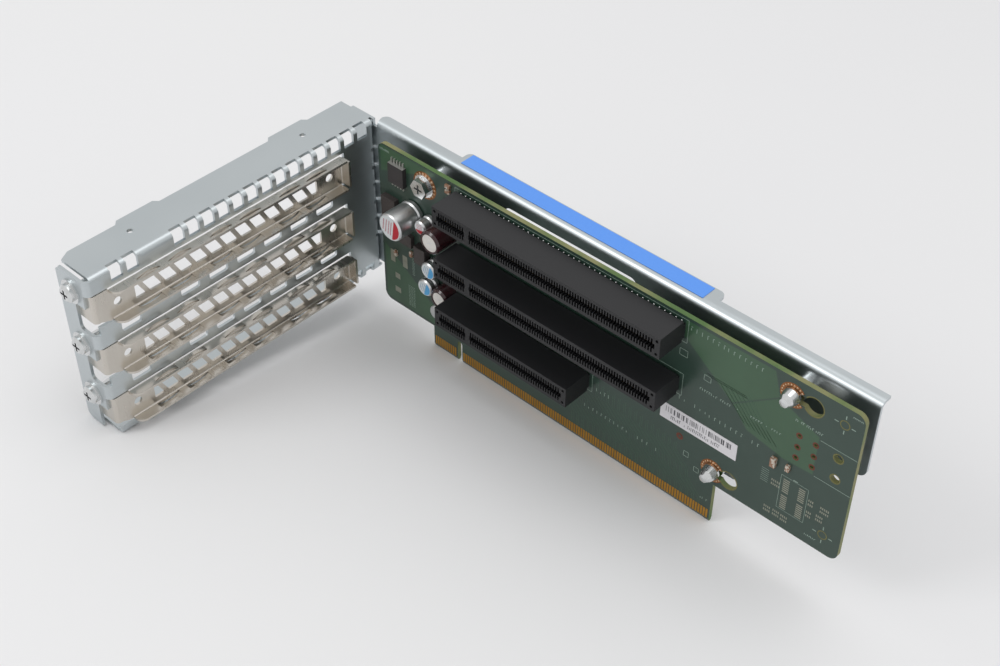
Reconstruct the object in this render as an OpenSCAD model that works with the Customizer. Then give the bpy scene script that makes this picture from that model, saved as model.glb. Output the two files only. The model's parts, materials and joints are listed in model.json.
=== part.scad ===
// Riser cage bracket: a folded sheet-metal cage that carries a three-slot
// riser board on edge. The rear panel holds three ventilated slot covers, the
// back plate carries the board on standoffs and keyhole studs.
// Frame: origin at the middle of the board's bottom contact edge, +X along the
// board away from the rear panel, -Y towards the cards, +Z up. Millimetres.

/* [Sheet metal] */
// Thickness of the folded cage sheet
sheet_t = 1.0; // [0.8:0.1:1.2]
// Inner radius of the cage folds
bend_r = 1.0; // [0.6:0.1:1.4]
// Thickness of the slot cover sheet
cover_t = 0.8; // [0.6:0.1:1]

/* [Riser board] */
// Thickness of the board
board_t = 1.6; // [1.2:0.1:2]
// Height of the board above its contact edge
board_h = 73.3; // [73:0.1:76]
// Length of the tongue with the edge contacts
tongue_l = 117; // [112:1:122]
// Board length past the tongue, on the panel side
shoulder_near = 23.3; // [21:0.1:25]
// Board length past the tongue, on the far side
shoulder_far = 43.5; // [42:0.1:50]
// Height of the shoulder on the panel side
shoulder_near_z = 8.7; // [8:0.1:9.5]
// Height of the shoulder on the far side
shoulder_far_z = 16.3; // [14:0.1:17]
// Corner radius of the board
board_corner_r = 3; // [1:0.5:4]
// Bevel height along the contact edge
bevel_h = 1.2; // [0.6:0.1:1.6]
// Width of the key notch
notch_w = 2; // [1.6:0.1:2.2]
// Distance from the tongue's end to the key notch
notch_inset = 12.1; // [10:0.1:14]
// Pitch of the edge contacts
finger_pitch = 1; // [1:0.1:1.2]
// Width of one edge contact
finger_w = 0.7; // [0.5:0.05:0.8]
// Length of one edge contact
finger_l = 4.9; // [3:0.1:5.5]
// Thickness of the contact plating
plating_t = 0.06; // [0.05:0.01:0.1]

/* [Card sockets] */
// Distance between neighbouring sockets
slot_pitch = 20.32; // [20.32:0.1:20.52]
// Height of the middle socket above the contact edge
slot_mid_z = 47.6; // [47:0.1:48]
// Distance from the tongue's end to the sockets' ends
slot_inset = 12; // [11.5:0.1:13]
// Length of a long socket body
socket_long = 89; // [89:1:91]
// Length of the short socket body
socket_short = 56; // [56:1:58]
// Width of a socket body
socket_w = 7.5; // [7:0.1:8]
// Height of a socket body off the board
socket_h = 11.25; // [10:0.05:11.5]
// Pitch of the socket contacts
contact_pitch = 1; // [1:0.01:1.02]
// Width of the card slot
card_slot_w = 1.8; // [1.6:0.1:2]

/* [Rear panel] */
// Distance from the tongue's end to the panel's inner face
panel_gap = 32.2; // [31:0.1:36]
// Height of the panel's lower edge above the contact edge
panel_z = 12; // [10:0.1:13]
// Height of the rear panel
panel_h = 61.7; // [61:0.1:64]
// Reach of the panel in front of the back plate
panel_reach = 113.9; // [112:0.1:120]
// Depth of the top flange
top_flange = 15.6; // [14:0.1:18]
// Depth of the bottom flange
bottom_flange = 12; // [10:0.1:14]
// Depth of the screw flange
screw_flange = 14.3; // [13.5:0.1:16]
// Reach of the side flange riveted to the back plate
side_flange = 9; // [8.5:0.1:10]
// Projection of the hook tabs
hook_reach = 1.55; // [1:0.05:2]
// Pitch of the window row
window_pitch = 5.72; // [5.6:0.01:5.8]
// Width of one window
window_w = 4.1; // [3.6:0.1:4.4]
// Reach of the windows over the top fold
window_over = 2.4; // [2:0.1:3]
// Depth of the windows down the face
window_down = 4.65; // [4:0.05:5]
// Pitch of the slots between the covers
vent_pitch = 11.05; // [10.9:0.01:11.1]
// Length of a slot between the covers
vent_l = 7.2; // [5:0.1:8]
// Height of a slot between the covers
vent_h = 4; // [2:0.1:4.4]

/* [Slot covers] */
// Height of a slot cover
cover_h = 11.9; // [11.5:0.1:12.3]
// Clearance of a cover in its opening
cover_fit = 0.15; // [0.1:0.05:0.3]
// Distance of a cover's middle below its socket's middle
cover_drop = 6.3; // [6:0.1:6.6]
// Depth of the cover's channel
channel_d = 3.7; // [3:0.1:4]
// Gap from the back plate to the cover's end wall
cover_end_gap = 14.6; // [14:0.1:16]
// Length of the cover's channel
channel_l = 92.3; // [88:0.1:93]
// Pitch of the slanted perforations
perf_pitch = 5.86; // [5.6:0.01:6]
// Width of a slanted perforation
perf_w = 4.2; // [3.4:0.1:4.4]
// Height of the slanted perforations
perf_h = 4.75; // [3:0.05:5]
// Slant of the perforations
perf_slant = 2.5; // [0:0.1:3.5]
// Length of one lanced spring finger
lance_l = 8.6; // [7:0.1:9]
// Rise of a spring finger
lance_rise = 0.9; // [0.5:0.1:1.2]
// Width of a spring finger
lance_w = 1.5; // [1:0.1:1.8]

/* [Back plate] */
// Gap between the board and the back plate
plate_gap = 5.3; // [4.5:0.1:6]
// Height of the back plate's top above the contact edge
plate_top = 73.8; // [73.5:0.1:76]
// Depth of the back plate's top flange
plate_flange = 4.4; // [4:0.1:6]
// Depth of the grip tab with its flange
grip_reach = 8; // [7:0.1:10]
// Length of the grip tab
grip_l = 100.6; // [96:0.1:104]
// Outer radius of the top fold
top_fold_r = 2.5; // [1.8:0.1:3]
// Height of the plate's short end above the contact edge
plate_end_z = 45.2; // [40:0.1:46]
// Height of the plate's lower edge above the contact edge
plate_low_z = 15; // [14:0.1:16.5]
// Length of the window in the back plate
plate_window_l = 52.5; // [40:0.5:54]
// Height of the window in the back plate
plate_window_h = 38.7; // [30:0.1:40]

/* [Fasteners] */
// Radius of the board standoffs and studs
post_r = 2.8; // [2.4:0.1:3.2]
// Radius of the studs' necks
neck_r = 1.5; // [1.2:0.1:1.6]
// Height of the studs' heads
stud_head_h = 4.6; // [3:0.1:5]
// Radius of the cover screws' flange
screw_flange_r = 4.05; // [3.6:0.05:4.3]
// Radius of the cover screws' head
screw_head_r = 3; // [2.6:0.1:3.4]
// Height of the cover screws' head
screw_head_h = 2; // [1.6:0.1:2.4]
// Radius of the screw threads
thread_r = 1.55; // [1.4:0.05:1.6]
// Radius of a rivet's head
rivet_head_r = 2.6; // [2:0.1:3]
// Clearance around threads, necks and rivets
hole_fit = 0.2; // [0.1:0.05:0.3]

/* [Board parts] */
// Radius of the large capacitor
big_cap_r = 4.95; // [4.5:0.05:5]
// Height of the large capacitor
big_cap_h = 10.9; // [8:0.1:12]
// Height of the wrapped capacitors
wrapped_cap_h = 8.5; // [5:0.1:9]
// Height of the marked capacitors
marked_cap_h = 4.5; // [4:0.1:6]
// Thickness of the labels
label_t = 0.15; // [0.1:0.05:0.3]

/* [Hidden] */
$fn = 48;
eps = 0.01;
over = 1;

// Stations of the main pieces
tongue_x = tongue_l / 2;
board_x0 = -tongue_x - shoulder_near;
board_x1 = tongue_x + shoulder_far;
front_y = -board_t / 2;
rear_y = board_t / 2;
slot_x = slot_inset - tongue_x;
panel_x = -tongue_x - panel_gap;
panel_top = panel_z + panel_h;
plate_y = rear_y + plate_gap;
panel_y = plate_y - panel_reach;
fold_r = bend_r + sheet_t;
flange_x = panel_x - top_flange;
function slot_z(i) = slot_mid_z + (2 - i) * slot_pitch;
function cover_z(i) = slot_z(i) - cover_drop;

// Cover openings, slots and windows of the rear panel
opening_h = cover_h + 2 * cover_fit;
opening_y1 = plate_y - cover_end_gap + 0.7;
screw_x = panel_x - 7.6;
screw_up = 5.2;
relief_depth = 7.1;
relief_low = 9;
relief_high = 1;
vent_y0 = panel_y + 9.4;
window_y0 = plate_y - 7.6;
window_n = 18;
blank_windows = [14, 15];
stitch_pitch = 7.07;
stitch_n = 6;

// Slot covers
cover_x = panel_x + 0.3;
cover_r = 0.6;
channel_x1 = cover_x + channel_d;
end_wall_y = plate_y - cover_end_gap;
channel_y0 = end_wall_y - channel_l;
tab_y = panel_y + sheet_t;
perf_y0 = channel_y0 + 8.8;
perf_y1 = end_wall_y - 11.6;
lances = [8.5, 20.1, 35.8, 47.3, 63.3, 74.6];

// Back plate, posts and rivets
plate_x0 = panel_x - 10.9;
plate_x1 = board_x1 - 0.1;
fold_x0 = panel_x + 1.2;
leg_x1 = 62;
window_x0 = -33;
grip_x0 = -55.2;
stub_r = 1.9;
posts = [[-60.8, 66.1], [79.5, 67.1], [57.5, 21.6]];
key_run = [6.8, 5.8];
key_r = 3.1;
rivet_x = panel_x - 6.3;
rivet_zs = [26, 43, 60];

// Helpers: sections drawn flat and pushed along one axis
module along_x(x0, x1) {
  translate([x0, 0, 0]) rotate([90, 0, 90]) linear_extrude(x1 - x0) children();
}
module along_y(y0, y1) {
  translate([0, y1, 0]) rotate([90, 0, 0]) linear_extrude(y1 - y0) children();
}
module along_z(z0, z1) {
  translate([0, 0, z0]) linear_extrude(z1 - z0) children();
}
module box(a, b) {
  translate(a) cube(b - a);
}
module area(a, b) {
  translate(a) square(b - a);
}
module round_area(a, b, r) {
  area([a[0] + r, a[1]], [b[0] - r, b[1]]);
  area([a[0], a[1] + r], [b[0], b[1] - r]);
  for (x = [a[0] + r, b[0] - r], y = [a[1] + r, b[1] - r])
    translate([x, y]) circle(r);
}
// Closed ring of folded sheet, cut open by what uses it
module fold_ring(a, b, t, r) {
  difference() {
    round_area(a, b, r + t);
    round_area(a + [t, t], b - [t, t], r);
  }
}
// Disc or bored disc standing on a face that looks towards -Y
module disc_y(p, r, y0, y1) {
  translate([p[0], y1, p[1]]) rotate([90, 0, 0]) cylinder(r = r, h = y1 - y0);
}
// Turned piece on an axis along -Y, profile given as [radius, height]
module turned_y(p, y, points) {
  translate([p[0], y, p[1]]) rotate([90, 0, 0]) rotate_extrude() polygon(points);
}

// Rear panel: web, top and bottom flanges, screw flange and riveted side flange
module panel_sheet() {
  // web with the flanges folded back along the top and bottom
  difference() {
    along_y(panel_y + fold_r + 0.2, plate_y)
      difference() {
        fold_ring([panel_x - 40, panel_z], [panel_x, panel_top], sheet_t, bend_r);
        area([panel_x - 41, panel_z - over], [panel_x - bottom_flange, panel_z + 30]);
        area([panel_x - 41, panel_z + 29], [flange_x, panel_top + over]);
      }
    box([panel_x - fold_r - side_flange, plate_y - fold_r, panel_z + fold_r],
      [panel_x + over, plate_y + over, panel_top - fold_r]);
  }
  // web with the screw flange and the side flange folded back at its ends
  intersection() {
    along_z(panel_z + 0.3, panel_top - 0.6)
      difference() {
        fold_ring([panel_x - 40, panel_y], [panel_x, plate_y], sheet_t, bend_r);
        area([panel_x - 41, panel_y - over], [panel_x - screw_flange, panel_y + 30]);
        area([panel_x - 41, panel_y + 29], [panel_x - side_flange, plate_y + over]);
      }
    union() {
      along_y(panel_y - over, panel_y + 20)
        round_area([panel_x - screw_flange, panel_z + 0.3],
          [panel_x + 10, panel_top - 0.6], 2.2);
      box([panel_x - 20, panel_y + 10, panel_z + fold_r],
        [panel_x + over, plate_y + over, panel_top - fold_r]);
    }
  }
}
module hook_tab(y0, y1) {
  along_z(panel_top - sheet_t, panel_top)
    polygon([[flange_x + over, y0], [flange_x, y0], [flange_x - hook_reach, y0 + 1.4],
      [flange_x - hook_reach, y1 - 1.4], [flange_x, y1], [flange_x + over, y1]]);
}
module window_row(z0, z1) {
  for (k = [0:window_n - 1])
    if (k != blank_windows[0] && k != blank_windows[1])
      box([panel_x - window_over, window_y0 - k * window_pitch, z0],
        [panel_x + over, window_y0 - k * window_pitch + window_w, z1]);
}
module cover_opening(i) {
  z = cover_z(i);
  box([panel_x - fold_r - 0.2, panel_y - over, z - opening_h / 2],
    [panel_x + over, opening_y1, z + opening_h / 2]);
  along_y(panel_y - over, panel_y + fold_r + 0.2)
    round_area([panel_x - relief_depth, z - relief_low],
      [panel_x + 5, z + relief_high], 1.5);
  disc_y([screw_x, z + screw_up], thread_r + hole_fit, panel_y - over,
    panel_y + fold_r);
}
module vent_slot(y0, z) {
  along_x(panel_x - fold_r, panel_x + over)
    round_area([y0, z - vent_h / 2], [y0 + vent_l, z + vent_h / 2], 0.9);
}
module rear_panel() {
  color("#b3b9be")
    difference() {
      union() {
        panel_sheet();
        hook_tab(plate_y - 91.1, plate_y - 74.8);
        hook_tab(plate_y - 31.6, plate_y - 14.85);
      }
      window_row(panel_top - window_down, panel_top + over);
      window_row(panel_z - over, panel_z + window_down);
      for (i = [1:3]) cover_opening(i);
      for (i = [1:2], k = [0, 2, 3, 4, 5, 6, 7])
        vent_slot(vent_y0 + k * vent_pitch, cover_z(i) - slot_pitch / 2);
      // chamfered rear corner of the top flange
      along_z(panel_top - sheet_t - over, panel_top + over)
        polygon([[flange_x - over, panel_y], [flange_x + 2.9, panel_y],
          [flange_x + 1.8, panel_y + 2.3], [flange_x, panel_y + 5.6],
          [flange_x - over, panel_y + 5.6]]);
      // slit between the web and the back plate at the top
      box([panel_x - fold_r, plate_y - 0.8, panel_top - 6.9],
        [panel_x + over, plate_y + over, panel_top + over]);
      // relief slots along the riveted corner
      for (k = [0:stitch_n - 1])
        box([panel_x - fold_r, plate_y - fold_r, panel_top - 11.8 - k * stitch_pitch],
          [panel_x + over, plate_y + over, panel_top - 10.6 - k * stitch_pitch]);
      // small holes in the top flange
      for (y = [89.8, 21.7])
        translate([panel_x - 10.2, plate_y - y, panel_top - sheet_t - over])
          cylinder(r = 1, h = sheet_t + 2 * over);
      for (z = rivet_zs)
        disc_y([rivet_x, z], thread_r + hole_fit / 4, plate_y - sheet_t - over,
          plate_y + over);
    }
}

// Slot cover: ventilated channel with lanced spring fingers and a screw tab
module channel_section() {
  difference() {
    fold_ring([cover_x - cover_t, -cover_h / 2], [cover_x + 20, cover_h / 2],
      cover_t, cover_r);
    area([channel_x1, -cover_h], [cover_x + 21, cover_h]);
  }
}
module lance_cut(y) {
  box([cover_x + 0.6, y, cover_h / 2 - cover_t - over],
    [cover_x + 1.2 + lance_w, y + lance_l, cover_h / 2 + over]);
}
// A bridge of sheet bowed out of the flange between its two ends
module lance_bridge(y) {
  half = lance_l / 2;
  arc_r = (half * half + lance_rise * lance_rise) / (2 * lance_rise);
  along_x(cover_x + 0.9, cover_x + 0.9 + lance_w)
    intersection() {
      translate([y + half, cover_h / 2 + lance_rise - arc_r])
        difference() {
          circle(arc_r, $fn = 128);
          circle(arc_r - 0.5, $fn = 128);
        }
      area([y - 0.6, cover_h / 2 - cover_t], [y + lance_l + 0.6, cover_h]);
    }
}
module perforations() {
  n = ceil((perf_y1 - perf_y0) / perf_pitch) + 1;
  intersection() {
    area([perf_y0, 1.75 - perf_h], [perf_y1, 1.75]);
    union() for (k = [-1:n])
      translate([perf_y0 + 2.9 + k * perf_pitch, 1.75 - perf_h])
        polygon([[perf_slant, 0], [perf_slant + perf_w, 0], [perf_w, perf_h],
          [0, perf_h]]);
  }
}
module slot_cover(i) {
  color("#bab5ab")
    translate([0, 0, cover_z(i)])
    difference() {
      union() {
        difference() {
          along_y(channel_y0, end_wall_y - cover_t - cover_r) channel_section();
          for (s = [0, 1]) mirror([0, 0, s])
            for (y = lances) lance_cut(channel_y0 + y);
          // rounded ends of the two flanges
          along_z(-cover_h, cover_h)
            difference() {
              area([channel_x1 - 3, channel_y0 - over], [channel_x1 + over, channel_y0 + 3]);
              translate([channel_x1 - 3, channel_y0 + 3]) circle(3);
            }
        }
        for (s = [0, 1]) mirror([0, 0, s])
          for (y = lances) lance_bridge(channel_y0 + y);
        // end wall folded forward
        along_z(-cover_h / 2 + 1, cover_h / 2 - 1)
          difference() {
            fold_ring([cover_x - cover_t, end_wall_y - 40],
              [cover_x + 20, end_wall_y], cover_t, cover_r);
            area([cover_x - 2, end_wall_y - 41], [cover_x + 21, end_wall_y - 4]);
            area([channel_x1 - 0.2, end_wall_y - 5], [cover_x + 21, end_wall_y + over]);
          }
        // tail that hooks behind the panel
        box([panel_x - sheet_t - cover_t, end_wall_y - cover_t, -3],
          [cover_x - 0.1, end_wall_y, 3]);
        box([panel_x - sheet_t - cover_t, end_wall_y - cover_t, -3],
          [panel_x - sheet_t, end_wall_y + 5, 3]);
        // flat end of the web
        along_x(cover_x - cover_t, cover_x)
          polygon([[channel_y0 + 1, -cover_h / 2 + 1.4], [channel_y0 - 0.5, -5.6],
            [tab_y + 2, -4.3], [tab_y + cover_t + cover_r, -4.3],
            [tab_y + cover_t + cover_r, cover_h / 2], [channel_y0, cover_h / 2],
            [channel_y0 + 1, cover_h / 2 - 1.4]]);
        // screw tab folded back behind the screw flange
        intersection() {
          along_z(-4.3, screw_up + 3.7)
            difference() {
              fold_ring([cover_x - 40, tab_y], [cover_x, tab_y + 40], cover_t, cover_r);
              area([cover_x - 41, tab_y - over],
                [panel_x - screw_flange + 1.5, tab_y + 41]);
              area([cover_x - 41, tab_y + cover_t + cover_r], [cover_x + over, tab_y + 41]);
            }
          union() {
            box([cover_x - 20, tab_y - over, -5], [cover_x + over, tab_y + 5, cover_h / 2]);
            along_y(tab_y - over, tab_y + 5)
              round_area([panel_x - screw_flange + 1.5, -4],
                [panel_x - fold_r - 0.6, screw_up + 3.7], 1);
          }
        }
      }
      along_x(cover_x - cover_t - over, cover_x + 0.3) perforations();
      // round holes at both ends
      along_x(cover_x - cover_t - over, cover_x + 0.3)
        for (y = [channel_y0 + 2.6, end_wall_y - 6.3])
          translate([y, 0]) circle(1.45);
      disc_y([screw_x, screw_up], thread_r + hole_fit, tab_y - over, tab_y + 2);
      // relief so that the tab leaves the panel's opening edge free
      box([cover_x - 20, tab_y - over, -5], [panel_x - relief_depth, tab_y + 5, -1]);
    }
}
module cover_screw(i) {
  color("#c9c8c4")
    translate([screw_x, panel_y, cover_z(i) + screw_up]) rotate([90, 0, 0])
    difference() {
      union() {
        cylinder(r = screw_flange_r, h = 0.7);
        rotate_extrude() polygon([[0, 0], [screw_head_r, 0], [screw_head_r, 0.7 + screw_head_h * 0.6],
          [screw_head_r * 0.7, 0.7 + screw_head_h], [0, 0.7 + screw_head_h]]);
        translate([0, 0, -6]) cylinder(r = thread_r, h = 6 + eps);
      }
      cross_recess(0.7 + screw_head_h, 1.3, 3.4);
    }
}
module cross_recess(z, depth, span) {
  for (a = [0, 90]) rotate([0, 0, a])
    translate([-span / 2, -0.35, z - depth]) cube([span, 0.7, depth + over]);
}

// Back plate with its folded top, grip tab, window and leg
module plate_outline() {
  difference() {
    union() {
      round_area([plate_x0, plate_low_z], [leg_x1, panel_top], 1.5);
      area([plate_x0, panel_top - 5], [panel_x, panel_top]);
      round_area([fold_x0, plate_end_z], [plate_x1, plate_top + 10], 3);
    }
    round_area([window_x0, plate_top - 5.05 - plate_window_h],
      [window_x0 + plate_window_l, plate_top - 5.05], 2.5);
    area([plate_x0 - over, plate_top - top_fold_r], [plate_x1 + over, plate_top + 20]);
  }
}
module back_plate() {
  color("#b3b9be")
    difference() {
      union() {
        along_y(plate_y, plate_y + sheet_t) plate_outline();
        // side wall behind the panel's top flange
        box([plate_x0, plate_y, plate_top - top_fold_r - eps],
          [panel_x - 0.5, plate_y + sheet_t, panel_top]);
        // folded top
        along_x(fold_x0, plate_x1)
          difference() {
            fold_ring([plate_y, plate_top - 40], [plate_y + 40, plate_top],
              sheet_t, top_fold_r - sheet_t);
            area([plate_y - over, plate_top - 41], [plate_y + 41, plate_top - top_fold_r]);
            area([plate_y + plate_flange, plate_top - 5], [plate_y + 41, plate_top + over]);
          }
        // grip tab
        along_z(plate_top - sheet_t, plate_top)
          difference() {
            round_area([grip_x0, plate_y + top_fold_r - 4],
              [grip_x0 + grip_l, plate_y + grip_reach], 2);
            area([grip_x0 - over, plate_y - 5],
              [grip_x0 + grip_l + over, plate_y + plate_flange - 0.5]);
          }
      }
      // rounded free corner of the folded top
      along_z(plate_top - sheet_t - over, plate_top + over)
        difference() {
          area([fold_x0 - over, plate_y + plate_flange - 2],
            [fold_x0 + 2, plate_y + plate_flange + over]);
          translate([fold_x0 + 2, plate_y + plate_flange - 2]) circle(2);
        }
      for (p = posts) disc_y(p, stub_r + 0.02, plate_y - over, plate_y + sheet_t + over);
      for (z = rivet_zs)
        disc_y([rivet_x, z], thread_r + hole_fit / 4, plate_y - over,
          plate_y + sheet_t + over);
    }
}
module joining_rivets() {
  color("#a9adb0")
    for (z = rivet_zs) {
      disc_y([rivet_x, z], thread_r, plate_y - sheet_t - eps, plate_y + sheet_t + eps);
      turned_y([rivet_x, z], plate_y - sheet_t, [[0, 0], [rivet_head_r, 0],
        [rivet_head_r, 0.3], [rivet_head_r * 0.6, 0.8], [0, 0.8]]);
      turned_y([rivet_x, z], plate_y + sheet_t, [[0, 0], [rivet_head_r, 0],
        [rivet_head_r, -0.3], [rivet_head_r * 0.6, -0.8], [0, -0.8]]);
    }
}
module touch_label() {
  color("#3f7fe0")
    along_z(plate_top, plate_top + label_t)
    area([grip_x0 + 1.8, plate_y + top_fold_r - 0.6],
      [grip_x0 + grip_l - 4, plate_y + grip_reach - 0.4]);
}

// Standoff, keyhole studs and the board's own screw
module post_stub(p) {
  disc_y(p, stub_r, plate_y - eps, plate_y + sheet_t);
}
module board_standoff() {
  color("#bdbdb9")
    difference() {
      union() {
        disc_y(posts[0], post_r, rear_y, plate_y);
        post_stub(posts[0]);
      }
      disc_y(posts[0], thread_r + 0.02, rear_y - over, rear_y + 4);
    }
}
module keyhole_stud(p) {
  color("#cfcfcc") {
    disc_y(p, post_r, rear_y, plate_y);
    post_stub(p);
    disc_y(p, neck_r, front_y - 0.2, rear_y + eps);
    turned_y(p, front_y - 0.15, [[0, 0], [post_r, 0], [post_r, 0.7],
      [post_r * 0.78, stud_head_h * 0.62], [post_r * 0.5, stud_head_h * 0.93],
      [post_r * 0.2, stud_head_h], [0, stud_head_h]]);
  }
}
module upper_stud() { keyhole_stud(posts[1]); }
module lower_stud() { keyhole_stud(posts[2]); }
module board_screw() {
  color("#c4c7c9")
    translate([posts[0][0], front_y, posts[0][1]]) rotate([90, 0, 0])
    difference() {
      union() {
        cylinder(r = 4, h = 0.6);
        cylinder(r = 3.4, h = 3.2, $fn = 6);
        translate([0, 0, -board_t - 3.5]) cylinder(r = thread_r, h = board_t + 3.5 + eps);
      }
      cross_recess(3.2, 1.4, 3.4);
    }
}

// Riser board: outline, bevelled tongue, key notch, keyholes and tooling holes
module board_outline() {
  round_area([board_x0, shoulder_near_z], [tongue_x, board_h], board_corner_r);
  round_area([0, shoulder_far_z], [board_x1, board_h], board_corner_r);
  area([-tongue_x, bevel_h], [tongue_x, shoulder_far_z + board_corner_r]);
}
module keyhole(p, run) {
  along_y(front_y - over, rear_y + over) {
    area([p[0], p[1] - neck_r - hole_fit], [p[0] + run, p[1] + neck_r + hole_fit]);
    translate(p) circle(neck_r + hole_fit);
    translate([p[0] + run, p[1]]) circle(key_r);
  }
}
module riser_board() {
  notch_x = notch_inset - tongue_x;
  color("#2f5a3c")
    difference() {
      union() {
        along_y(front_y, rear_y) board_outline();
        along_x(-tongue_x, tongue_x)
          polygon([[front_y, bevel_h + over], [front_y, bevel_h], [front_y + 0.4, 0],
            [rear_y - 0.4, 0], [rear_y, bevel_h], [rear_y, bevel_h + over]]);
      }
      // key notch with a round top
      along_y(front_y - over, rear_y + over) {
        area([notch_x - notch_w / 2, -over], [notch_x + notch_w / 2, shoulder_near_z - notch_w / 2]);
        translate([notch_x, shoulder_near_z - notch_w / 2]) circle(notch_w / 2);
      }
      keyhole(posts[1], key_run[0]);
      keyhole(posts[2], key_run[1]);
      disc_y(posts[0], thread_r + hole_fit, front_y - over, rear_y + over);
      for (p = [[96.3, 54.3], [96.5, 46.6]]) disc_y(p, 1.45, front_y - over, rear_y + over);
      for (x = [83.6, 89], z = [54.4, 50, 45.9])
        disc_y([x, z], 0.6, front_y - over, rear_y + over);
    }
}
module edge_contacts() {
  first = -tongue_x + 1;
  n = floor((tongue_l - 2) / finger_pitch);
  notch_x = notch_inset - tongue_x;
  color("#c49a3c")
    for (k = [0:n], s = [0, 1])
      if (abs(first + k * finger_pitch - notch_x) > (notch_w + finger_w) / 2)
        translate([first + k * finger_pitch - finger_w / 2,
          s == 0 ? front_y - plating_t : rear_y, bevel_h])
          cube([finger_w, plating_t, finger_l - bevel_h]);
}

// Card sockets: body, card slot with its key rib, contact notches and contacts
near_count = 11;
key_span = 3;
first_contact = 3;
function contact_x(k) = slot_x + first_contact
  + (k < near_count ? k : k - 1) * contact_pitch + (k < near_count ? 0 : key_span);
function contact_n(length) = floor((length - first_contact - key_span) / contact_pitch) - 1;
module slot_cavity(length, half_w) {
  key_x = contact_x(near_count - 1) + key_span / 2;
  for (x = [[slot_x + 1.9, key_x - 0.9], [key_x + 0.9, slot_x + length - 1.9]])
    area([x[0], -half_w], [x[1], half_w]);
}
module socket(i, length) {
  top_y = front_y - socket_h;
  color("#2b2b2e")
    translate([0, 0, slot_z(i)])
    difference() {
      union() {
        box([slot_x, top_y, -socket_w / 2], [slot_x + length, front_y - 0.9, socket_w / 2]);
        // feet on the board
        for (x = [slot_x, slot_x + 11, slot_x + length - 4])
          box([x, front_y - 1, -socket_w / 2 + 1.2], [x + 4, front_y, socket_w / 2 - 1.2]);
      }
      along_y(top_y - over, top_y + 8.5) slot_cavity(length, card_slot_w / 2);
      // wider pocket for the contact rows
      along_y(top_y + 1.6, top_y + 8.5) slot_cavity(length, card_slot_w / 2 + 0.7);
      // contact notches in the mouth
      along_y(top_y - over, top_y + 1.6 + eps)
        for (k = [0:contact_n(length) - 1])
          area([contact_x(k) - 0.3, -2.5], [contact_x(k) + 0.3, 2.5]);
      // corner holes
      for (x = [slot_x + 1.2, slot_x + length - 1.2], z = [-2.35, 2.35])
        disc_y([x, z], 0.5, top_y - over, top_y + 3);
    }
}
module socket_contacts(i, length) {
  top_y = front_y - socket_h;
  n = contact_n(length);
  key_x = contact_x(near_count - 1) + key_span / 2;
  color("#c9a24a")
    translate([0, 0, slot_z(i)])
    for (s = [0, 1]) mirror([0, 0, s])
      along_z(card_slot_w / 2 + 0.1, card_slot_w / 2 + 0.6) {
        for (x = [[slot_x + 2.2, key_x - 1.2], [key_x + 1.2, slot_x + length - 2.2]])
          area([x[0], top_y + 7.4], [x[1], top_y + 8.4]);
        for (k = [0:n - 1])
          area([contact_x(k) - 0.25, top_y + 1.9], [contact_x(k) + 0.25, top_y + 7.5]);
      }
}

// Capacitors stand on the board as turned cans with a crimp near the base
module can(p, r, h) {
  turned_y(p, front_y, [[0, 0], [r - 0.5, 0], [r, 0.4], [r, 1.6], [r - 0.4, 2.1],
    [r - 0.4, 2.5], [r, 3], [r, h - 0.5], [r - 0.4, h], [0, h]]);
}
module sleeve_can(p, r, h) {
  turned_y(p, front_y, [[0, 0], [r, 0], [r, h - 0.7], [r - 0.6, h], [r - 1, h],
    [r - 1.1, h - 0.3], [0, h - 0.3]]);
}
module big_capacitor() { color("#c3c3c2") can([-66.3, 52.4], big_cap_r, big_cap_h); }
module small_capacitor() { color("#c3c3c2") can([-58.25, 53.4], 2.55, 5.5); }
module wrapped_capacitor_1() {
  color("#3a1c22") sleeve_can([-51.1, 52.9], 4.25, wrapped_cap_h);
}
module wrapped_capacitor_2() {
  color("#3a1c22") sleeve_can([-50.6, 27.9], 3.85, wrapped_cap_h - 3);
}
module marked_capacitors() {
  color("#b9c7cc") {
    can([-56.2, 36.2], 3.15, marked_cap_h);
    can([-58, 28.2], 3.15, marked_cap_h);
  }
}
module low_capacitor() { color("#b5b5b2") can([-52.8, 20.7], 2.6, 5); }

// Surface parts
module chip(a, size) {
  box([a[0], front_y - size[1], a[1]], [a[0] + size[0], front_y, a[1] + size[2]]);
}
module driver_ic() {
  lead_n = 5;
  color("#2c2a2b") chip([-76.1, 61], [6.8, 1.6, 7.4]);
  color("#b8b8b4")
    for (k = [0:lead_n - 1], z = [59.3, 68.4])
      chip([-75.6 + k * 1.27, z], [0.45, 0.5, 1.6]);
}
module power_blocks() {
  color("#3b3635") {
    chip([-79.5, 46.2], [6.2, 2, 8]);
    chip([-72, 38.2], [5.4, 1.6, 4.6]);
    chip([-64.5, 34.5], [4.9, 2.6, 6.8]);
  }
}
module small_chips() {
  color("#b39b84") {
    chip([76.5, 38.3], [1.7, 1.2, 3.4]);
    chip([81.4, 39.6], [1.3, 0.9, 2.2]);
    chip([-68.6, 33.6], [1.2, 0.8, 2]);
    chip([-51.3, 68.6], [2, 0.8, 1.2]);
    chip([-51.3, 70.6], [2, 0.8, 1.2]);
    chip([-79, 41.5], [1.2, 0.8, 2.2]);
    chip([-79, 36.5], [1.2, 0.8, 2.2]);
    chip([-76, 30], [1.2, 0.8, 2.2]);
  }
}
module board_label(a, b) {
  box([a[0], front_y - label_t, a[1]], [b[0], front_y, b[1]]);
}
module barcode_label() { color("#d9d6d8") board_label([37, 31.1], [64.9, 37.4]); }
module part_label() { color("#d9d6d8") board_label([21, 31.6], [34.5, 40]); }

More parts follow.
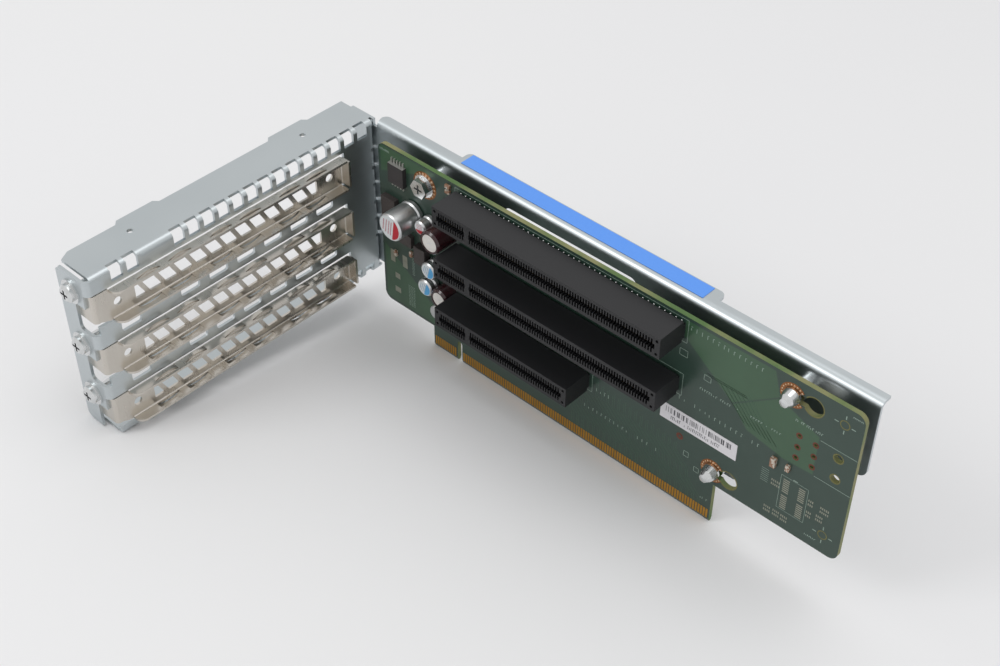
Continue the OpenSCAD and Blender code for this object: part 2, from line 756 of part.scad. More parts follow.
rear_panel();
back_plate();
joining_rivets();
touch_label();
slot_cover(1);  // slot_cover_1
slot_cover(2);  // slot_cover_2
slot_cover(3);  // slot_cover_3
cover_screw(1);  // cover_screw_1
cover_screw(2);  // cover_screw_2
cover_screw(3);  // cover_screw_3
board_standoff();
upper_stud();
lower_stud();
board_screw();
riser_board();
edge_contacts();
socket(1, socket_long);  // socket_1
socket(2, socket_long);  // socket_2
socket(3, socket_short);  // socket_3
socket_contacts(1, socket_long);  // socket_contacts_1
socket_contacts(2, socket_long);  // socket_contacts_2
socket_contacts(3, socket_short);  // socket_contacts_3
big_capacitor();
small_capacitor();
wrapped_capacitor_1();
wrapped_capacitor_2();
marked_capacitors();
low_capacitor();
driver_ic();
power_blocks();
small_chips();
barcode_label();
part_label();
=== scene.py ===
"""Riser cage bracket of a rack server, dressed for rendering.

The sections follow the bracket as it is put together: the riser board and what
is printed and soldered on it, the sheet-metal cage, its slot covers and its
fasteners, and last the floor, the lights and the camera. Lengths are written
in millimetres and multiplied by MM where Blender needs metres.
"""

import json
import math
import random

import bmesh
import bpy
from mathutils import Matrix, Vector

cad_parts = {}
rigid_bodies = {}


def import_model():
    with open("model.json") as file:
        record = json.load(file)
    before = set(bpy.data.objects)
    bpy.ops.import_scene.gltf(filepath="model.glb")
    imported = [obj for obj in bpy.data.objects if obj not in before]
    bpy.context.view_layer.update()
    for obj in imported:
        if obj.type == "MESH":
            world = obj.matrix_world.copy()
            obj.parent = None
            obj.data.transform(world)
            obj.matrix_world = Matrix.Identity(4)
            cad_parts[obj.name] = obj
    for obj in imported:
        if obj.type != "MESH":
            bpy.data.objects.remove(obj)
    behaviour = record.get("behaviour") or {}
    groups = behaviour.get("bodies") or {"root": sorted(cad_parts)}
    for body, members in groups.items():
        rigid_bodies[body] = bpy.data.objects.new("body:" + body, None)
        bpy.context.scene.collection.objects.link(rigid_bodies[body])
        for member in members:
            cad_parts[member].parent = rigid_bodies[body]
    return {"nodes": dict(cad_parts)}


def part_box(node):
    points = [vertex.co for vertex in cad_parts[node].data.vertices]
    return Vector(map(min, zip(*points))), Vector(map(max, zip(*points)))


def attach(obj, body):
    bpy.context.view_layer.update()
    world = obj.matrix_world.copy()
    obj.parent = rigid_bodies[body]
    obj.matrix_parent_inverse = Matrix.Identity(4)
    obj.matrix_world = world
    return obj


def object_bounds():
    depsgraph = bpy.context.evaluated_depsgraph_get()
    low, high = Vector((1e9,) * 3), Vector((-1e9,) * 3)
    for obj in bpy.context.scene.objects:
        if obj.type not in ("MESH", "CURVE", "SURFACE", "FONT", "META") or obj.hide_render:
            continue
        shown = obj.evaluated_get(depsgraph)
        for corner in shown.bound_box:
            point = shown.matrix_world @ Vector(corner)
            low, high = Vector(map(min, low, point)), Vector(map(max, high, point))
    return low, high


for leftover in list(bpy.data.objects):
    bpy.data.objects.remove(leftover)

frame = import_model()
nodes = frame["nodes"]
cad_corners = [list(corner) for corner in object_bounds()]

# ---------------------------------------------------------------- Riser board
# A glass-epoxy board 1.6 mm thick with etched copper under a green solder
# mask. It is routed to shape, so its edges and holes show the tan laminate.

MM = 0.001
MASK_DARK = "#2B3F36"
MASK_LIGHT = "#35543B"
LAMINATE_EDGE = "#7E7D52"
LAMINATE_EDGE_GREEN = "#47662F"


def linear(hex_colour):
    """An sRGB hex colour as linear red, green, blue and alpha."""
    shares = [int(hex_colour[i : i + 2], 16) / 255 for i in (1, 3, 5)]
    return [s / 12.92 if s <= 0.04045 else ((s + 0.055) / 1.055) ** 2.4 for s in shares] + [1.0]


def start_material(name):
    """A new node material, its tree, its Principled shader and its coordinates."""
    material = bpy.data.materials.new(name)
    material.use_nodes = True
    tree = material.node_tree
    return material, tree, tree.nodes["Principled BSDF"], tree.nodes.new("ShaderNodeTexCoord")


def add(tree, kind, settings=None, links=None):
    """Adds one node. Settings go to its properties or inputs, links to its inputs."""
    made = tree.nodes.new(kind)
    for key, value in (settings or {}).items():
        if isinstance(key, str) and hasattr(made, key):
            setattr(made, key, value)
        else:
            made.inputs[key].default_value = value
    for key, socket in (links or {}).items():
        tree.links.new(socket, made.inputs[key])
    return made


def mottled(name, dark, light, scale, detail, roughness, metallic=0.0):
    """A material whose tone drifts between two shades with noise of the given scale."""
    material, tree, shader, place = start_material(name)
    noise = add(tree, "ShaderNodeTexNoise", {"Scale": scale, "Detail": detail},
                {"Vector": place.outputs["Object"]})
    tone = add(tree, "ShaderNodeMix", {"data_type": "RGBA", 6: linear(dark), 7: linear(light)},
               {0: noise.outputs["Fac"]})
    tree.links.new(tone.outputs[2], shader.inputs["Base Color"])
    shader.inputs["Metallic"].default_value = metallic
    shader.inputs["Roughness"].default_value = roughness
    return material, tree, shader, noise


def coat(material, *names):
    """Gives CAD nodes their material."""
    for name in names:
        nodes[name].data.materials.clear()
        nodes[name].data.materials.append(material)


def inside(tree, place, corners, soft=0.4):
    """1 inside a convex patch of the board's face, 0 outside it. Corners run anticlockwise."""
    depth = None
    for (x0, z0), (x1, z1) in zip(corners, corners[1:] + corners[:1]):
        run = math.hypot(x1 - x0, z1 - z0)
        inward = ((z0 - z1) / run, 0, (x1 - x0) / run)
        along = add(tree, "ShaderNodeVectorMath", {"operation": "DOT_PRODUCT", 1: inward},
                    {0: place.outputs["Object"]})
        edge = add(tree, "ShaderNodeMath",
                   {"operation": "SUBTRACT", 1: (inward[0] * x0 + inward[2] * z0) * MM},
                   {0: along.outputs["Value"]})
        depth = edge if depth is None else add(
            tree, "ShaderNodeMath", {"operation": "MINIMUM"},
            {0: depth.outputs[0], 1: edge.outputs[0]})
    return add(tree, "ShaderNodeMapRange", {"From Min": 0, "From Max": soft * MM},
               {"Value": depth.outputs[0]}).outputs["Result"]


# Solder mask: glossy, darker where it lies on copper planes than on bare
# laminate, with a faint print of the glass weave.
mask, tree, shader, place = start_material("Green solder mask on glass-epoxy laminate")
light_areas = None
for corners in (
    [(42.6, 66.0), (61.0, 51.8), (76.0, 63.8), (73.4, 72.3), (42.6, 72.3)],
    [(61.0, 51.8), (66.8, 45.1), (79.8, 42.6), (89.8, 43.2), (89.8, 58.0), (76.0, 63.8)],
    [(-81.0, 9.5), (-56.0, 9.5), (-56.0, 16.0), (-81.0, 33.0)],
    [(-81.0, 62.0), (-56.0, 71.5), (-56.0, 72.8), (-81.0, 72.8)],
):
    area = inside(tree, place, corners)
    light_areas = area if light_areas is None else add(
        tree, "ShaderNodeMath", {"operation": "MAXIMUM"}, {0: light_areas, 1: area}).outputs[0]
planes = add(tree, "ShaderNodeMix",
             {"data_type": "RGBA", 6: linear(MASK_DARK), 7: linear(MASK_LIGHT)},
             {0: light_areas})
cloud = add(tree, "ShaderNodeTexNoise", {"Scale": 90, "Detail": 3},
            {"Vector": place.outputs["Object"]})
uneven = add(tree, "ShaderNodeMapRange", {"To Min": 0.86, "To Max": 1.14},
             {"Value": cloud.outputs["Fac"]})
tinted = add(tree, "ShaderNodeVectorMath", {"operation": "SCALE"},
             {0: planes.outputs[2], "Scale": uneven.outputs["Result"]})
# The routed edges: the normal has no part along the board's thickness.
facing = add(tree, "ShaderNodeNewGeometry")
normal = add(tree, "ShaderNodeSeparateXYZ", {}, {0: facing.outputs["Normal"]})
across = add(tree, "ShaderNodeMath", {"operation": "ABSOLUTE"}, {0: normal.outputs["Y"]})
routed = add(tree, "ShaderNodeMath", {"operation": "LESS_THAN", 1: 0.5}, {0: across.outputs[0]})
streak = add(tree, "ShaderNodeTexNoise", {"Scale": 45, "Detail": 4},
             {"Vector": place.outputs["Object"]})
burr = add(tree, "ShaderNodeMapRange", {"From Min": 0.42, "From Max": 0.58},
           {"Value": streak.outputs["Fac"]})
edge_tone = add(tree, "ShaderNodeMix",
                {"data_type": "RGBA", 6: linear(LAMINATE_EDGE_GREEN), 7: linear(LAMINATE_EDGE)},
                {0: burr.outputs["Result"]})
board_tone = add(tree, "ShaderNodeMix", {"data_type": "RGBA"},
                 {0: routed.outputs[0], 6: tinted.outputs[0], 7: edge_tone.outputs[2]})
tree.links.new(board_tone.outputs[2], shader.inputs["Base Color"])
gloss = add(tree, "ShaderNodeMapRange", {"To Min": 0.3, "To Max": 0.6},
            {"Value": routed.outputs[0]})
tree.links.new(gloss.outputs["Result"], shader.inputs["Roughness"])
# Glass weave: threads about 0.5 mm apart.
weave = add(tree, "ShaderNodeTexWave", {"Scale": 0.314 / 0.5 / MM, "bands_direction": "X"},
            {"Vector": place.outputs["Object"]})
weft = add(tree, "ShaderNodeTexWave", {"Scale": 0.314 / 0.5 / MM, "bands_direction": "Z"},
           {"Vector": place.outputs["Object"]})
cloth = add(tree, "ShaderNodeMath", {"operation": "MULTIPLY"},
            {0: weave.outputs["Fac"], 1: weft.outputs["Fac"]})
print_through = add(tree, "ShaderNodeBump", {"Strength": 0.04, "Distance": 0.02 * MM},
                    {"Height": cloth.outputs[0]})
tree.links.new(print_through.outputs["Normal"], shader.inputs["Normal"])
shader.inputs["IOR"].default_value = 1.55
coat(mask, "riser_board")

# ------------------------------------------------------------- Copper tracks
# Etched tracks under the mask. They fan out in pairs from the gold fingers
# and bend at 45 degrees towards the sockets.

board_low, board_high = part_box("riser_board")
board_face = board_low.y
finger_low, finger_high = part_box("edge_contacts")
finger_top = finger_high.z / MM


def finish_mesh(name, shape, material):
    """Turns built geometry into a piece of the object with its material, fixed to the root body."""
    bmesh.ops.recalc_face_normals(shape, faces=shape.faces)
    mesh = bpy.data.meshes.new(name)
    shape.to_mesh(mesh)
    shape.free()
    mesh.materials.append(material)
    piece = bpy.data.objects.new(name, mesh)
    bpy.context.scene.collection.objects.link(piece)
    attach(piece, "root")
    return piece


def plates(name, outlines, thickness, material, face=None):
    """Thin plates standing off a face that looks along -Y, from outlines of (x, z)."""
    face = board_face if face is None else face
    shape = bmesh.new()
    for outline in outlines:
        lids = [[shape.verts.new((x * MM, y, z * MM)) for x, z in outline]
                for y in (face - thickness * MM, face)]
        shape.faces.new(lids[0])
        shape.faces.new(lids[1][::-1])
        for i in range(len(outline)):
            j = (i + 1) % len(outline)
            shape.faces.new((lids[0][i], lids[1][i], lids[1][j], lids[0][j]))
    return finish_mesh(name, shape, material)


def ribbon(points, width):
    """A track or printed line along points, as one four-cornered outline for each run."""
    runs = []
    for (x0, z0), (x1, z1) in zip(points, points[1:]):
        run = math.hypot(x1 - x0, z1 - z0)
        ux, uz = (x1 - x0) / run * width / 2, (z1 - z0) / run * width / 2
        runs.append([(x0 - ux + uz, z0 - uz - ux), (x1 + ux + uz, z1 + uz - ux),
                     (x1 + ux - uz, z1 + uz + ux), (x0 - ux - uz, z0 - uz + ux)])
    return runs


track_lines = []
for pair in range(24):
    for lane in (-0.35, 0.35):
        x = 54 - 2.2 * pair + lane
        first = finger_top + 2.6 + 0.12 * pair + lane
        track_lines += ribbon([(x, finger_top + 0.2), (x, first), (x - 5, first + 5),
                               (x - 5.6, first + 8.6), (x - 10.5, first + 13.5),
                               (x - 10.5, first + 16.5 + 0.2 * pair)], 0.16)
for pair in range(7):
    for lane in (-0.3, 0.3):
        x = 62 + 1.9 * pair + lane
        track_lines += ribbon([(x - 12, 57 - lane), (x - 6, 57 - lane), (x, 51 - lane - pair * 0.3),
                               (x + 4, 47 - lane - pair * 0.3)], 0.14)
tracks, *_ = mottled("Copper tracks under solder mask", "#34503F", "#3D5B47", 400, 2, 0.32)
plates("board_tracks", track_lines, 0.012, tracks)

# ------------------------------------------------------------- Bare laminate
# Narrow rims of bare laminate where the mask is kept back from the holes.

stud_centres = [sum(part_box(n), Vector()) / 2 / MM for n in ("upper_stud", "lower_stud")]
KEYHOLE_RUNS = (6.8, 5.8)
KEYHOLE_RADIUS = 3.1
PIN_HOLES = [(96.3, 54.3, 1.45), (96.5, 46.6, 1.45), (96.2, 67.1, 1.3), (96.2, 23.3, 1.3)]


def ring(x, z, inner, outer, start=0, sweep=360, steps=36):
    """Wedge outlines that make a flat ring, or a part of one."""
    bits = max(3, round(steps * sweep / 360))
    spokes = [math.radians(start + sweep * i / bits) for i in range(bits + 1)]
    return [[(x + r * math.cos(a), z + r * math.sin(a))
             for r, a in ((inner, a0), (outer, a0), (outer, a1), (inner, a1))]
            for a0, a1 in zip(spokes, spokes[1:])]


# Rims round the keyholes' wide ends and round the pin holes and their marks.
rims = []
for centre, run in zip(stud_centres, KEYHOLE_RUNS):
    rims += ring(centre.x + run, centre.z, KEYHOLE_RADIUS, KEYHOLE_RADIUS + 0.35, -145, 290)
for x, z, radius in PIN_HOLES:
    rims += ring(x, z, radius, radius + 0.3)
bare, *_ = mottled("Bare glass-epoxy laminate", "#5C5A2C", "#77733F", 900, 3, 0.55)
plates("hole_rims", rims, 0.014, bare)

# --------------------------------------------------------------- Gold fingers
# Contacts of the edge tongue: copper plated with hard gold, evenly spaced at
# 1 mm. The plating gives a warm, slightly brushed shine.

gold, tree, shader, rub = mottled("Hard gold plating", "#B9862F", "#D3A04A",
                                  350, 4, 0.5, 1.0)
sheen = add(tree, "ShaderNodeMapRange", {"To Min": 0.26, "To Max": 0.42},
            {"Value": rub.outputs["Fac"]})
tree.links.new(sheen.outputs["Result"], shader.inputs["Roughness"])
coat(gold, "edge_contacts")

# ------------------------------------------------------ Copper rings and pads
# Rings of bare copper with solder bumps ground the studs and the screw to the
# cage. Plated holes wait for a header, and a test point has a ring of its own.

SCREW_RING = (3.4, 5.0)
STUD_RING = (2.9, 4.2)
HEADER_HOLES = [(x, z) for x in (83.6, 89.0) for z in (54.4, 50.0, 45.9)]
screw_low, screw_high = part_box("board_screw")
screw_centre = (screw_low + screw_high) / 2 / MM

copper_rings = ring(screw_centre.x, screw_centre.z, *SCREW_RING)
for centre in stud_centres:
    copper_rings += ring(centre.x, centre.z, *STUD_RING, 35, 290)
copper, *_ = mottled("Bare copper with flux film", "#7C4A2E", "#B07848", 600, 4, 0.38, 0.85)
plates("copper_rings", copper_rings, 0.03, copper)


def domes(name, spots, material):
    """Low round bumps of solder on the board, from (x, z, radius, height)."""
    shape = bmesh.new()
    for x, z, radius, height in spots:
        levels = [(1.0, 0.0), (0.86, 0.5), (0.5, 0.88)]
        loops = [[shape.verts.new(((x + radius * share * math.cos(a)) * MM,
                                   board_face - height * rise * MM,
                                   (z + radius * share * math.sin(a)) * MM))
                  for a in (math.tau * k / 10 for k in range(10))] for share, rise in levels]
        tip = shape.verts.new((x * MM, board_face - height * MM, z * MM))
        shape.faces.new(loops[0][::-1])
        for low, high in zip(loops, loops[1:]):
            for k in range(10):
                shape.faces.new((low[k], low[(k + 1) % 10], high[(k + 1) % 10], high[k]))
        for k in range(10):
            shape.faces.new((loops[-1][k], loops[-1][(k + 1) % 10], tip))
    for face in shape.faces:
        face.smooth = True
    return finish_mesh(name, shape, material)


# Solder bumps on the rings: dull tin with a little copper showing through.
bumps = [(screw_centre.x + 4.2 * math.cos(a), screw_centre.z + 4.2 * math.sin(a), 0.5, 0.25)
         for a in (math.tau * k / 18 for k in range(18))]
for centre in stud_centres:
    bumps += [(centre.x + 3.55 * math.cos(a), centre.z + 3.55 * math.sin(a), 0.36, 0.25)
              for a in (math.radians(40 + 280 * k / 17) for k in range(18))]
bump_solder, *_ = mottled("Solder wetted on copper", "#B98A62", "#CFB79C", 500, 3, 0.3, 0.9)
domes("ring_solder_bumps", bumps, bump_solder)

hole_rings = []
for x, z in HEADER_HOLES:
    hole_rings += ring(x, z, 0.6, 1.05, steps=20)
hole_rings += ring(44.8, 27.4, 0.45, 1.25, steps=20)
plated, *_ = mottled("Copper annulus under clear flux", "#54281C", "#7A4230", 800, 2, 0.35, 0.4)
plates("header_hole_rings", hole_rings, 0.02, plated)

# ------------------------------------------------- Tinned pads and pin tails
# Footprints that stay empty on this board show their tinned pads, and the
# ends of the upper socket's contacts show as a row of solder dots.


def block(x0, z0, x1, z1):
    """The outline of a rectangle."""
    return [(x0, z0), (x1, z0), (x1, z1), (x0, z1)]


def pad_row(x, z, count, pitch, size, upright=True):
    """Equal pads in a row along X, or along Z when upright is false."""
    row = []
    for k in range(count):
        px, pz = (x + k * pitch, z) if upright else (x, z + k * pitch)
        row.append(block(px, pz, px + size[0], pz + size[1]))
    return row


pads = []
for x in (81.2, 86.5):
    for z in (30.5, 24.0):
        pads += pad_row(x, z, 7, 0.8, (2.1, 0.42), upright=False)
for x, z, count in ((77.4, 30.8, 5), (90.0, 31.2, 3), (89.9, 26.6, 3), (94.0, 31.2, 5),
                    (93.1, 27.4, 4), (76.3, 19.2, 4), (79.4, 19.4, 4), (82.2, 19.2, 4)):
    pads += pad_row(x, z, count, 0.62, (0.34, 0.85))
    pads += pad_row(x, z + 1.5, count, 0.62, (0.34, 0.85))
pads += [block(-78.3, 26.4, -76.2, 31.4), block(-72.6, 26.6, -70.4, 31.6),
         block(-76.5, 19.9, -74.2, 22.1), block(-76.8, 13.8, -74.2, 16.0)]
tin, *_ = mottled("Hot-air levelled tin", "#85877A", "#A5A697", 700, 2, 0.4, 0.7)
plates("tinned_pads", pads, 0.03, tin)

solder, *_ = mottled("Bright solder", "#B9BABB", "#D9D9D8", 900, 2, 0.22, 1.0)
tails = [(-44.8 + 2 * k, 71.1, 0.34, 0.4) for k in range(44)]
for name in ("socket_1", "socket_2", "socket_3"):
    low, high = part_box(name)
    count = int((high.x - low.x) / MM / 2) - 1
    tails += [(low.x / MM + 2 + 2 * k, low.z / MM - 0.9, 0.3, 0.5) for k in range(count)]
domes("solder_tails", tails, solder)

# ---------------------------------------------------------------- Silk screen
# Pale printed outlines and marks. Short upright ticks stand where a real
# board carries fine print, so nothing on it can be read.


def ticks(x0, x1, z, height, rng, spacing=0.95):
    """A row of short upright marks that stands in for a line of fine print."""
    marks, x = [], x0
    while x < x1:
        if rng.random() > 0.14:
            drop = rng.choice((0, 0, 0.25, 0.45)) * height
            marks.append(block(x, z, x + 0.2, z + height - drop))
            if rng.random() > 0.4:
                marks.append(block(x, z + height - 0.2, x + 0.55, z + height))
        x += spacing
    return marks


def box_frame(x0, z0, x1, z1, width=0.16):
    """A printed rectangle."""
    return ribbon([(x0, z0), (x1, z0), (x1, z1), (x0, z1), (x0, z0)], width)


dice = random.Random(11)
silk = []
for name in ("socket_1", "socket_2", "socket_3"):
    low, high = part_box(name)
    silk += box_frame(low.x / MM - 1, low.z / MM - 0.4, high.x / MM + 1.2, high.z / MM + 0.5)
# Rows of fine print: left, right and foot of the row, height and spacing of its marks.
PRINT_ROWS = [
    (44.6, 56.0, 69.3, 1.5, 1.9), (57.5, 72.0, 69.2, 1.3, 1.9),
    (43.0, 53.0, 41.8, 1.4, 1.9), (54.0, 72.0, 41.4, 1.3, 1.9),
    (10.8, 18.0, 24.6, 1.4, 1.6),
    (8.0, 26.6, 15.4, 1.2, 1.7), (29.4, 37.0, 15.4, 1.2, 1.8),
    (49.8, 60.4, 50.0, 0.9, 0.8), (63.0, 77.6, 50.6, 0.7, 0.9),
    (81.6, 90.2, 58.9, 0.9, 0.6), (98.0, 101.4, 71.0, 0.5, 0.5),
    (90.6, 94.4, 19.4, 0.6, 0.55), (54.5, 57.0, 7.8, 0.8, 0.7),
    (-81.0, -76.8, 70.6, 0.8, 0.5), (-80.6, -78.4, 38.0, 0.7, 0.6),
]
for x0, x1, z, height, spacing in PRINT_ROWS:
    silk += ticks(x0, x1, z, height, dice, spacing)
# Outlines of unfitted parts: left, foot, right and top.
for outline in ((50.8, 54.4, 53.2, 56.4), (41.6, 58.6, 44.4, 61.0),
                (46.8, 20.8, 48.6, 22.8), (51.0, 17.0, 52.8, 18.9)):
    silk += box_frame(*outline)
# Two lines run from the header's corners to just short of the board's edge.
line_end = board_high.x / MM - 0.2
silk += ribbon([(line_end, 57.1), (90.2, 57.1)], 0.16)
silk += ribbon([(90.2, 43.2), (line_end, 43.2)], 0.16)
# Ladders of short level marks: left, right, lowest mark, pitch, count and line width.
LADDERS = [(73.8, 76.2, 30.4, 0.8, 7, 0.12), (-68.0, -67.0, 25.8, 0.65, 12, 0.16)]
LADDERS += [(-70.2 + 1.1 * column, -69.5 + 1.1 * column, 11.4, 0.65, 14, 0.16)
            for column in range(3)]
for x0, x1, z, pitch, count, width in LADDERS:
    for k in range(count):
        silk += ribbon([(x0, z + pitch * k), (x1, z + pitch * k)], width)
for x, z, radius in PIN_HOLES[2:]:
    for sx, sz in ((1, 0), (-1, 0), (0, 1), (0, -1)):
        silk += ribbon([(x + sx * (radius + 0.9), z + sz * (radius + 0.9)),
                        (x + sx * (radius + 1.9), z + sz * (radius + 1.9))], 0.3)
silk += ribbon([(84.4, 37.2), (85.6, 37.2)], 0.3) + box_frame(80.3, 23.4, 89.5, 36.8, 0.12)
ink, *_ = mottled("Epoxy silk-screen ink", "#6E8478", "#9DAEA3", 1500, 2, 0.5)
plates("silk_screen", silk, 0.02, ink)

# --------------------------------------------------------------- Card sockets
# Three card-edge sockets, moulded in black glass-filled nylon. The mould gives
# a fine, satin grain; the contacts inside are gold on phosphor bronze.

nylon, tree, shader, grain = mottled("Black glass-filled nylon", "#161618", "#1E1E21",
                                     1 / (0.35 * MM), 3, 0.5)
satin = add(tree, "ShaderNodeMapRange", {"To Min": 0.46, "To Max": 0.6},
            {"Value": grain.outputs["Fac"]})
tree.links.new(satin.outputs["Result"], shader.inputs["Roughness"])
pits = add(tree, "ShaderNodeBump", {"Strength": 0.1, "Distance": 0.02 * MM},
           {"Height": grain.outputs["Fac"]})
tree.links.new(pits.outputs["Normal"], shader.inputs["Normal"])
coat(nylon, "socket_1", "socket_2", "socket_3")

bronze, *_ = mottled("Gold-flashed phosphor bronze", "#5A4A2C", "#7D6638", 500, 2, 0.4, 1.0)
coat(bronze, "socket_contacts_1", "socket_contacts_2", "socket_contacts_3")

# ----------------------------------------------------------------- Capacitors
# Polymer capacitors in drawn aluminium cans with a rolled groove. Their ends
# carry a printed half mark; two more wear a shrunk plastic sleeve.

aluminium, tree, shader, place = start_material("Drawn aluminium can")
draw = add(tree, "ShaderNodeMapping", {"Scale": (900, 60, 900)},
           {"Vector": place.outputs["Object"]})
lines = add(tree, "ShaderNodeTexNoise", {"Scale": 1.0, "Detail": 3},
            {"Vector": draw.outputs["Vector"]})
tone = add(tree, "ShaderNodeMix", {"data_type": "RGBA", 6: linear("#CBCCCD"), 7: linear("#DCDDDD")},
           {0: lines.outputs["Fac"]})
tree.links.new(tone.outputs[2], shader.inputs["Base Color"])
shader.inputs["Metallic"].default_value = 1.0
sheen = add(tree, "ShaderNodeMapRange", {"To Min": 0.3, "To Max": 0.44},
            {"Value": lines.outputs["Fac"]})
tree.links.new(sheen.outputs["Result"], shader.inputs["Roughness"])
coat(aluminium, "big_capacitor", "small_capacitor", "marked_capacitors", "low_capacitor")

sleeve, _, shader, _ = mottled("Shrunk PVC sleeve", "#2A1216", "#3A1B20", 300, 2, 0.25)
shader.inputs["Coat Weight"].default_value = 0.4
coat(sleeve, "wrapped_capacitor_1", "wrapped_capacitor_2")


WHOLE_DISC = -0.9999  # a chord so near the rim that it cuts nothing off


def half_disc(x, z, radius, cut, turn, steps=28):
    """The outline of a disc beyond a chord. cut is the chord's place, turn its direction."""
    sweep = math.acos(cut)
    arc = [math.radians(turn) - sweep + 2 * sweep * k / steps for k in range(steps + 1)]
    return [(x + radius * math.cos(a), z + radius * math.sin(a)) for a in arc]


def print_material(name, dark, light):
    """Ink or lacquer on a can's end, a little uneven."""
    return mottled(name, dark, light, 1200, 3, 0.42)[0]


pale_end = print_material("Pale lacquer on aluminium", "#C2C7C9", "#D6DADB")
red_ink = print_material("Red marking ink", "#A01425", "#B81B2C")
blue_ink = print_material("Blue marking ink", "#3E8FC4", "#57A6D8")
paper_end = print_material("White end disc", "#CFCBC6", "#E2DFDA")
rose_ink = print_material("Thin red print", "#A8707A", "#BE8A90")
slate_ink = print_material("Thin blue print", "#7E9DB4", "#93AFC4")


def can_end(name, end_face, x, z, radius, mark, fine, turn, cut):
    """A lacquered end with its coloured segment and rows of fine marks beside it."""
    whole = half_disc(x, z, radius, WHOLE_DISC, turn)
    segment = half_disc(x, z, radius * 0.93, cut, turn)
    plates(name + "_end", [whole], 0.02, pale_end, end_face)
    plates(name + "_mark", [segment], 0.035, mark, end_face)
    lines = []
    heading = math.radians(turn)
    for row in (-0.62, -0.36, -0.1, 0.12):
        reach = radius * 0.72 * math.sqrt(1 - row * row)
        base = (x + radius * row * math.cos(heading), z + radius * row * math.sin(heading))
        for share in (-0.8, -0.35, 0.1, 0.5):
            a, b = share * reach, (share + 0.3) * reach
            lines += ribbon([(base[0] - a * math.sin(heading), base[1] + a * math.cos(heading)),
                             (base[0] - b * math.sin(heading), base[1] + b * math.cos(heading))],
                            radius * 0.09)
    plates(name + "_print", lines, 0.03, fine, end_face)


def can_centre(name):
    """Middle and radius of a can from its CAD box, and the place of its end."""
    low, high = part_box(name)
    return (low.x + high.x) / 2 / MM, (low.z + high.z) / 2 / MM, (high.x - low.x) / 2 / MM, low.y


x, z, radius, end = can_centre("big_capacitor")
can_end("big_capacitor", end, x, z, radius - 0.42, red_ink, rose_ink, -8, 0.36)
x, z, radius, end = can_centre("small_capacitor")
can_end("small_capacitor", end, x, z, radius - 0.42, red_ink, rose_ink, -80, 0.3)
low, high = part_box("marked_capacitors")
for number, (x, z) in enumerate([(-56.2, 36.2), (-58.0, 28.2)]):
    can_end("marked_capacitor_%d" % (number + 1), low.y, x, z, 2.75, blue_ink, slate_ink, -15, 0.2)
for name in ("wrapped_capacitor_1", "wrapped_capacitor_2"):
    x, z, radius, end = can_centre(name)
    face = end + 0.3 * MM
    plates(name + "_end", [half_disc(x, z, radius - 1.12, WHOLE_DISC, 0)], 0.05, paper_end,
           face)
    plates(name + "_score", ribbon([(x - 1.3, z - 0.7), (x + 1.3, z + 0.7)], 0.12)
           + ribbon([(x + 0.7, z - 1.3), (x - 0.7, z + 1.3)], 0.12), 0.06, pale_end,
           face)

# --------------------------------------------------------------- Board chips
# A driver chip and power inductors in black moulded epoxy, and small ceramic
# chips with tinned ends.

epoxy, tree, shader, place = start_material("Moulded epoxy with tinned leads")
grain = add(tree, "ShaderNodeTexNoise", {"Scale": 1 / (0.3 * MM), "Detail": 2},
            {"Vector": place.outputs["Object"]})
tone = add(tree, "ShaderNodeMix", {"data_type": "RGBA", 6: linear("#2B2829"), 7: linear("#383435")},
           {0: grain.outputs["Fac"]})
low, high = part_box("driver_ic")
LEAD_REACH = 1.59
moulding = block(low.x / MM - 1, low.z / MM + LEAD_REACH, high.x / MM + 1, high.z / MM - LEAD_REACH)
body = inside(tree, place, moulding, 0.02)
lead_tone = add(tree, "ShaderNodeMix", {"data_type": "RGBA", 6: linear("#C9C9C4")},
                {0: body, 7: tone.outputs[2]})
tree.links.new(lead_tone.outputs[2], shader.inputs["Base Color"])
shine = add(tree, "ShaderNodeMapRange", {"To Min": 0.9, "To Max": 0.0}, {"Value": body})
tree.links.new(shine.outputs["Result"], shader.inputs["Metallic"])
shader.inputs["Roughness"].default_value = 0.45
coat(epoxy, "driver_ic")

resin, *_ = mottled("Dark moulded inductor resin", "#322D2C", "#4B4442", 1 / (0.5 * MM), 3, 0.5)
coat(resin, "power_blocks")

ceramic, tree, shader, place = start_material("Ceramic chips with tinned ends")
fleck = add(tree, "ShaderNodeTexNoise", {"Scale": 1 / (1.1 * MM), "Detail": 2},
            {"Vector": place.outputs["Object"]})
bands = add(tree, "ShaderNodeMapRange", {"From Min": 0.5, "From Max": 0.54},
            {"Value": fleck.outputs["Fac"]})
tone = add(tree, "ShaderNodeMix", {"data_type": "RGBA", 6: linear("#8F6B54"), 7: linear("#BDB5A8")},
           {0: bands.outputs["Result"]})
tree.links.new(tone.outputs[2], shader.inputs["Base Color"])
shader.inputs["Roughness"].default_value = 0.35
coat(ceramic, "small_chips")

# --------------------------------------------------------------------- Labels
# White polyester labels with generic bars, and the blue touch-point label on
# the grip tab. The film is smooth with a slight orange peel.

